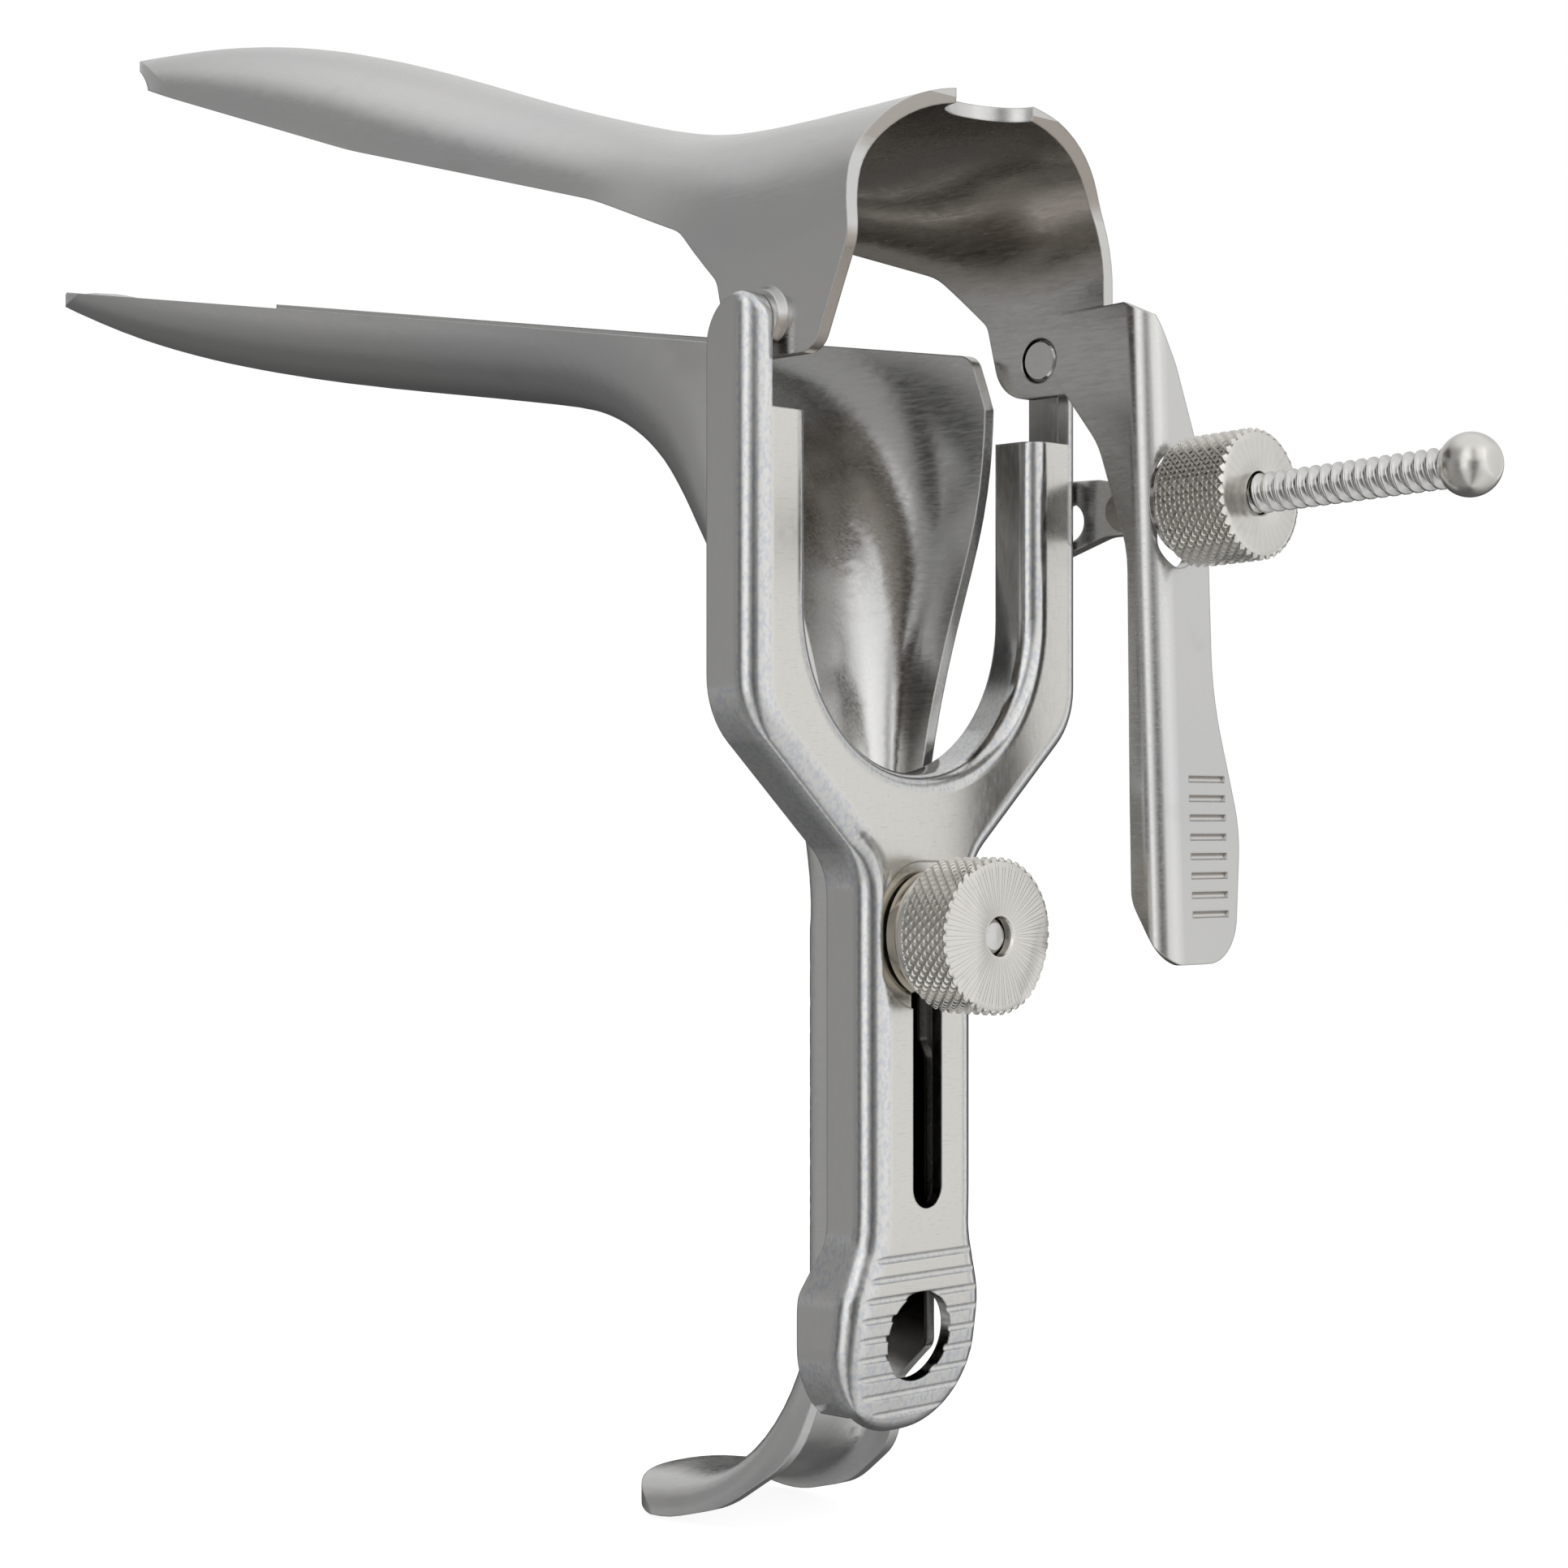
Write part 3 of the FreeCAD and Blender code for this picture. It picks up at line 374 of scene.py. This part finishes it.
def thread(bm, crest, root, pitch, low, high, steps=28):
    """Helical thread with rounded crests, cut square at both ends."""
    profile = [(0.0, 0.0), (0.14, 0.06), (0.32, 0.74), (0.42, 1.0), (0.58, 1.0), (0.68, 0.74),
               (0.86, 0.06)]
    rows = int((high - low) / pitch * steps) + 2 * steps
    grid = []
    for k in range(rows):
        turn = 2 * math.pi * k / steps
        base = low - pitch + pitch * k / steps
        grid.append([])
        for share, level in profile:
            r = root + (crest - root) * level
            up = base + pitch * share
            grid[-1].append(bm.verts.new((r * math.cos(turn), r * math.sin(turn), up)))
    last = len(profile) - 1
    for k in range(rows - 1):
        for p in range(last):
            bm.faces.new((grid[k][p], grid[k + 1][p], grid[k + 1][p + 1], grid[k][p + 1]))
        if k + 1 + steps < rows:
            bm.faces.new((grid[k][last], grid[k + 1][last],
                          grid[k + 1 + steps][0], grid[k + steps][0]))
    for height, facing in ((low, -1), (high, 1)):
        bmesh.ops.bisect_plane(bm, geom=bm.verts[:] + bm.edges[:] + bm.faces[:], dist=1e-5,
                               plane_co=(0, 0, height), plane_no=(0, 0, facing), clear_outer=True)
    bmesh.ops.holes_fill(bm, edges=[e for e in bm.edges if len(e.link_faces) == 1], sides=0)


def welded(node, weld):
    """Mesh of a node in millimetres, its faces joined."""
    bm = bmesh.new()
    bm.from_mesh(nodes[node].data)
    bm.transform(Matrix.Scale(1 / MM, 4))
    bmesh.ops.remove_doubles(bm, verts=bm.verts, dist=weld)
    bmesh.ops.dissolve_degenerate(bm, edges=bm.edges, dist=weld / 2)
    return bm


clamp_seat = Vector((0.0, FACE - SEAT_GAP - WASHER - SEAT_GAP, STUD_Z))
clamp = knurled_nut(
    "clamp_nut_knurled", radius=7.25, length=7.2, bore=1.75, shoulder=1.45, shoulder_radius=6.5,
    around=42, flats=((3.1, math.pi, math.tan(math.radians(7.0))),
                      (4.9, math.radians(-24.0), math.tan(math.radians(11.0)))),
    place=standing(clamp_seat, Vector((0.0, -1.0, 0.0))))
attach(clamp, "clamp_nut")
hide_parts("clamp_nut")

angle = knurled_nut(
    "angle_nut_knurled", radius=6.2, length=8.7, bore=2.0, shoulder=1.0, shoulder_radius=5.45,
    around=36, flats=((5.75, math.radians(10.0), math.tan(math.radians(9.0))),),
    place=standing(PIN + ROD * NUT_FROM_PIN, ROD))
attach(angle, "angle_nut")
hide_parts("angle_nut")

stem = bmesh.new()
thread(stem, crest=1.9, root=1.36, pitch=1.27, low=3.3, high=35.9)
rod = shape(stem, "rod_thread", THREAD, standing(PIN, ROD), 60.0)
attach(rod, "angle_rod")
eye = welded("threaded_rod", 0.002)
bmesh.ops.bisect_plane(eye, geom=eye.verts[:] + eye.edges[:] + eye.faces[:], dist=1e-5,
                       plane_co=PIN + ROD * EYE_END, plane_no=ROD, clear_outer=True)
bmesh.ops.holes_fill(eye, edges=[e for e in eye.edges if len(e.link_faces) == 1], sides=0)
eye = shape(eye, "rod_eye", THREAD)
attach(eye, "angle_rod")
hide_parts("threaded_rod")
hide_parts("threaded_rod")

knob = bmesh.new()
arc = [(BALL_RADIUS * math.sin(t), BALL_CENTRE - BALL_RADIUS * math.cos(t)) for t in
       (math.radians(24 + 156 * i / 30) for i in range(30))]
pressed = [(r, min(h, BALL_TIP + 0.15 * (h - BALL_TIP))) for r, h in arc]
lathe(knob, [(1.15, 35.7)] + pressed + [(0, 41.0)])
knob.faces.new(list(knob.verts)[:ROUND])
ball = shape(knob, "rod_knob", BALL, standing(PIN, ROD), 40.0)
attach(ball, "angle_rod")
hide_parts("rod_ball")


for node, mat in (
        ("frame", FRAME), ("lower_blade", LOWER), ("upper_blade", UPPER), ("screw_lug", UPPER),
        ("clamp_stud", SCREW), ("clamp_washer", DARK), ("left_pivot_screw", SCREW),
        ("right_pivot_screw", SCREW), ("lug_rivet", SCREW), ("rod_pin", SCREW),
        ("angle_washer", SCREW)):
    materials = nodes[node].data.materials
    materials.clear()
    materials.append(mat)


def studio():
    """White to the camera; soft panels and darker gaps around the part for all other light."""
    world = bpy.data.worlds.new("studio")
    scene.world = world
    world.use_nodes = True
    tree = world.node_tree
    tree.nodes.clear()

    def node(kind, **values):
        made = tree.nodes.new(kind)
        for key, value in values.items():
            setattr(made, key, value)
        return made

    def link(a, b):
        tree.links.new(a, b)

    split = node("ShaderNodeSeparateXYZ")
    link(node("ShaderNodeTexCoord").outputs["Generated"], split.inputs[0])
    x, y, z = split.outputs
    turn = node("ShaderNodeMath", operation="ARCTAN2")
    link(y, turn.inputs[0])
    link(x, turn.inputs[1])
    share = node("ShaderNodeMapRange")
    share.inputs["From Min"].default_value = -math.pi
    share.inputs["From Max"].default_value = math.pi
    link(turn.outputs[0], share.inputs["Value"])

    def around(stops):
        """Brightness by compass direction, in degrees from +X towards +Y."""
        made = node("ShaderNodeValToRGB")
        made.color_ramp.interpolation = "EASE"
        elements = made.color_ramp.elements
        order = sorted(((degrees + 180) % 360 / 360, tone) for degrees, tone in stops)
        seam = (order[0][1] + order[-1][1]) / 2
        order = [(0.0, seam)] + [o for o in order if 0.001 < o[0] < 0.999] + [(1.0, seam)]
        for i, (place, tone) in enumerate(order):
            element = elements[i] if i < 2 else elements.new(place)
            element.position = place
            element.color = (tone, tone, tone, 1)
        link(share.outputs[0], made.inputs["Fac"])
        return made.outputs["Color"]

    def by_height(low, high, below, above):
        fac = node("ShaderNodeMapRange", interpolation_type="SMOOTHSTEP")
        fac.inputs["From Min"].default_value = low
        fac.inputs["From Max"].default_value = high
        link(z, fac.inputs["Value"])
        mix = node("ShaderNodeMix", data_type="RGBA")
        link(fac.outputs[0], mix.inputs["Factor"])
        link(below, mix.inputs["A"])
        if isinstance(above, tuple):
            mix.inputs["B"].default_value = above
        else:
            link(above, mix.inputs["B"])
        return mix.outputs["Result"]

    lowered = around([
        (-45, 0.75), (-20, 0.6), (5, 0.3), (25, 0.14), (45, 0.12), (75, 0.16), (105, 0.25),
        (135, 0.34), (160, 0.3), (172, 0.26), (188, 0.8), (204, 0.8), (225, 0.2), (248, 0.7),
        (275, 0.85)])
    level = around([
        (-45, 0.95), (-28, 0.7), (-14, 1.1), (2, 0.3), (20, 0.08), (45, 0.06), (75, 0.15),
        (105, 0.32), (135, 0.44), (155, 0.34), (168, 0.16), (182, 1.15), (196, 1.3), (209, 0.5),
        (222, 0.15), (236, 0.3), (250, 1.0), (280, 1.1)])
    raised = around([
        (-45, 0.95), (-15, 0.8), (10, 0.7), (45, 0.75), (65, 0.66), (90, 0.5), (116, 0.36),
        (140, 0.36), (165, 0.4), (182, 1.1), (202, 1.4), (225, 0.5), (245, 1.1), (275, 1.3),
        (295, 1.0)])
    lower_half = by_height(-0.6, -0.12, lowered, level)
    around_all = by_height(0.05, 0.3, lower_half, raised)
    studio_light = by_height(0.6, 0.95, around_all, (0.95, 0.95, 0.95, 1.0))
    rays = node("ShaderNodeLightPath")
    seen = node("ShaderNodeMath", operation="MAXIMUM")
    link(rays.outputs["Is Camera Ray"], seen.inputs[0])
    link(rays.outputs["Is Transmission Ray"], seen.inputs[1])
    mix = node("ShaderNodeMix", data_type="RGBA")
    link(seen.outputs[0], mix.inputs["Factor"])
    link(studio_light, mix.inputs["A"])
    mix.inputs["B"].default_value = (1, 1, 1, 1)
    back = node("ShaderNodeBackground")
    link(mix.outputs["Result"], back.inputs["Color"])
    out = node("ShaderNodeOutputWorld")
    link(back.outputs[0], out.inputs["Surface"])


def floor():
    """Plain pale floor under the foot, seen by the camera and not by the steel."""
    bm = bmesh.new()
    bmesh.ops.create_grid(bm, x_segments=1, y_segments=1, size=FLOOR_HALF)
    mat = bpy.data.materials.new("floor_white")
    mat.use_nodes = True
    tree = mat.node_tree
    tree.nodes.clear()
    glow = tree.nodes.new("ShaderNodeEmission")
    glow.inputs["Color"].default_value = (1, 1, 1, 1)
    glow.inputs["Strength"].default_value = 0.84
    matt = tree.nodes.new("ShaderNodeBsdfDiffuse")
    matt.inputs["Color"].default_value = (0.4, 0.4, 0.4, 1)
    both = tree.nodes.new("ShaderNodeAddShader")
    out = tree.nodes.new("ShaderNodeOutputMaterial")
    tree.links.new(glow.outputs[0], both.inputs[0])
    tree.links.new(matt.outputs[0], both.inputs[1])
    tree.links.new(both.outputs[0], out.inputs["Surface"])
    obj = shape(bm, "floor", mat, Matrix.Translation((0, 0, FLOOR_Z)))
    obj.visible_glossy = False
    obj.visible_diffuse = False


studio()
floor()

camera = bpy.data.objects.new("camera", bpy.data.cameras.new("camera"))
scene.collection.objects.link(camera)
camera.data.lens = 72.486
camera.data.sensor_width = 36.0
camera.data.shift_y = (LEVEL_ROW - PHOTO / 2) / PHOTO
camera.data.clip_start = 0.01
camera.location = Vector((-217.87, -200.55, 47.9)) * MM
camera.rotation_euler = (math.radians(90), 0, math.radians(-45))
scene.camera = camera
scene.view_settings.view_transform = "Standard"
